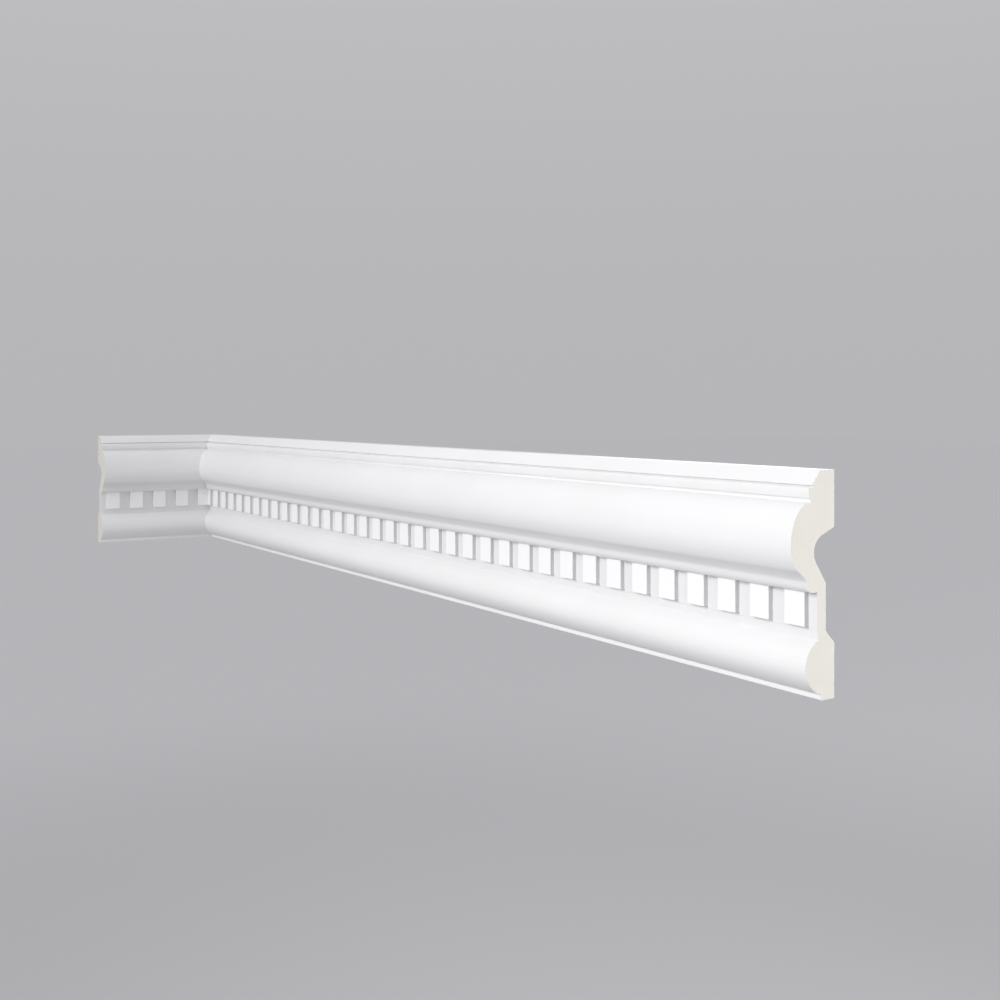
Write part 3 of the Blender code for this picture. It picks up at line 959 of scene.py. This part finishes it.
def finish_length(name, mesh, node):
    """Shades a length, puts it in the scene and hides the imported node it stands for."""
    draft = bpy.data.objects.new(name + "_draft", mesh)
    bpy.context.scene.collection.objects.link(draft)
    mesh.set_sharp_from_angle(angle=SHARP_ANGLE)
    weighting = draft.modifiers.new("weighted normals", "WEIGHTED_NORMAL")
    weighting.keep_sharp = True
    weighting.weight = FLAT_WEIGHT
    graph = bpy.context.evaluated_depsgraph_get()
    shaded = bpy.data.meshes.new_from_object(draft.evaluated_get(graph))
    shaded.name = name
    draft.modifiers.remove(weighting)
    bpy.data.objects.remove(draft)
    piece = bpy.data.objects.new(name, shaded)
    bpy.context.scene.collection.objects.link(piece)
    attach(piece, "root")
    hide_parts(node)
    triangles = sum(len(polygon.vertices) - 2 for polygon in shaded.polygons)
    print(f"{name}: {triangles} triangles")


# %% [markdown]
# ## The main length
#
# The row counts from the sawn end, where the saw went through the middle of a gap, so that the next length
# can carry on. At the other end the mitre cuts through the 37th dentil, and the last bay is a plain one.

# %% Make the main length
MAIN_DENTILS = 37
main_place = Matrix.Translation(CORNER)
main_run = run_mesh("main run", MAIN_LENGTH, MAIN_DENTILS)
main_cut = cut_length(main_run, MAIN_LENGTH, main_place, mirrored=False)
finish_length("main_moulding", main_cut, "main_length")

# %% [markdown]
# ## The return
#
# The return is the same run, at a right angle to the first. A turn alone would put its mitre at the wrong
# end, so it is mirrored across the line that bisects the corner, which swaps along and outwards. A mirrored
# mesh is inside out until its faces are turned round.

# %% Mirror the return across the corner
RETURN_DENTILS = 5
swap = Matrix(((0, -1, 0, 0), (-1, 0, 0, 0), (0, 0, 1, 0), (0, 0, 0, 1)))
return_place = Matrix.Translation(CORNER) @ swap
return_run = run_mesh("return run", RETURN_LENGTH, RETURN_DENTILS)
return_cut = cut_length(return_run, RETURN_LENGTH, return_place, mirrored=True)
finish_length("return_moulding", return_cut, "corner_return")

# %% [markdown]
# ## Stage and light
#
# The moulding is shown as it hangs, high above a plain pale floor, with nothing round it. The floor has a
# painted shadow right below, a darker patch, so that it throws less light up under the toruses.
#
# The key light stands in front and above. Its narrow spread is aimed near the sawn end, so the light falls
# off along the run as it does in the photograph, and it leaves the undersides grey. A side fill from beyond
# the sawn end reaches the face of the return. A fill from behind shows the back in the other views. A small
# end light, set back behind the moulding, reaches the sawn face and not the sides of the dentils, which
# keeps the row readable.

# %% The floor
FLOOR_DROP = 0.85
FLOOR_HALF = 30.0
FLOOR_PAINTED_SHADOW = (0.58, 0.58, 0.59, 1)
FLOOR_AROUND = (0.76, 0.76, 0.77, 1)
FLOOR_FADE = (1.0, 3.5)

signs = ((-1, -1), (1, -1), (1, 1), (-1, 1))
corners = [(x * FLOOR_HALF, y * FLOOR_HALF, CORNER.z - FLOOR_DROP) for x, y in signs]
floor_mesh = bpy.data.meshes.new("floor")
floor_mesh.from_pydata(corners, [], [(0, 1, 2, 3)])
floor = bpy.data.objects.new("floor", floor_mesh)
bpy.context.scene.collection.objects.link(floor)
floor_finish, floor_sheet, floor_shader = new_finish("pale floor")
floor_place = floor_sheet.add("ShaderNodeTexCoord", output="Object")
away = floor_sheet.add("ShaderNodeVectorMath", {"operation": "LENGTH"}, {0: floor_place}, "Value")
# Painted shadow: the floor is darker right below the moulding and fades to pale further out.
floor_colour = blend(floor_sheet, away.ramp(*FLOOR_FADE), FLOOR_PAINTED_SHADOW, FLOOR_AROUND)
floor_sheet.feed(floor_shader.inputs["Base Color"], floor_colour)
floor_shader.inputs["Roughness"].default_value = 0.9
floor_mesh.materials.append(floor_finish)
floor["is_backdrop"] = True
print(f"floor {FLOOR_DROP * MILLIMETRES:.0f} mm below the moulding")

# %% The sky of the studio
HORIZON_LIGHT = 0.474
ZENITH_LIGHT = 0.663
SKY_COLOUR = (0.99, 0.99, 1.02, 1)
world = bpy.data.worlds.new("studio")
world.use_nodes = True
sky = Sheet(world.node_tree)
way = sky.add("ShaderNodeTexCoord", output="Generated")
up = sky.add("ShaderNodeSeparateXYZ", inputs={"Vector": way}, output="Z").ramp(0.0, 1.0)
background = world.node_tree.nodes["Background"]
background.inputs["Color"].default_value = SKY_COLOUR
sky.feed(background.inputs["Strength"], HORIZON_LIGHT + up * (ZENITH_LIGHT - HORIZON_LIGHT))
bpy.context.scene.world = world
bpy.context.scene.view_settings.view_transform = "Standard"
print("sky from", HORIZON_LIGHT, "at the horizon to", ZENITH_LIGHT, "overhead")

# %% The lights
AIM_HEIGHT = -0.04


def soft_light(name, place, aim, size, watts, spread):
    """A rectangular area light that looks at a point, with its width and height and its spread in degrees."""
    data = bpy.data.lights.new(name, "AREA")
    data.shape = "RECTANGLE"
    data.size, data.size_y = size
    data.energy = watts
    data.spread = math.radians(spread)
    light = bpy.data.objects.new(name, data)
    light.location = place
    light.rotation_euler = (Vector(aim) - Vector(place)).to_track_quat("-Z", "Y").to_euler()
    bpy.context.scene.collection.objects.link(light)


sawn_end, near_middle = (0.45, 0, AIM_HEIGHT), (-0.05, 0, AIM_HEIGHT)
soft_light("key", (0.35, -2.97, 1.20), (0.60, 0, AIM_HEIGHT), size=(0.8, 1.2), watts=9.2, spread=68)
soft_light("side fill", (4.0, -1.5, 0.6), (0, 0, AIM_HEIGHT), size=(2.0, 2.0), watts=1.72, spread=60)
soft_light("back fill", (-1.60, 2.40, 0.90), near_middle, size=(2.0, 1.0), watts=6.3, spread=75)
soft_light("end light", (1.60, 0.70, AIM_HEIGHT), sawn_end, size=(0.3, 0.3), watts=0.36, spread=30)

# %% [markdown]
# ## Print the sizes
#
# The dressed pieces have to stay in the box of the imported model, so both boxes are printed.

# %% Print the sizes
new_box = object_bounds()
boxes = {"cad": [list(corner) for corner in cad_box], "visual": [list(corner) for corner in new_box]}
for label, corners in boxes.items():
    print(label, in_millimetres(corners), "mm")
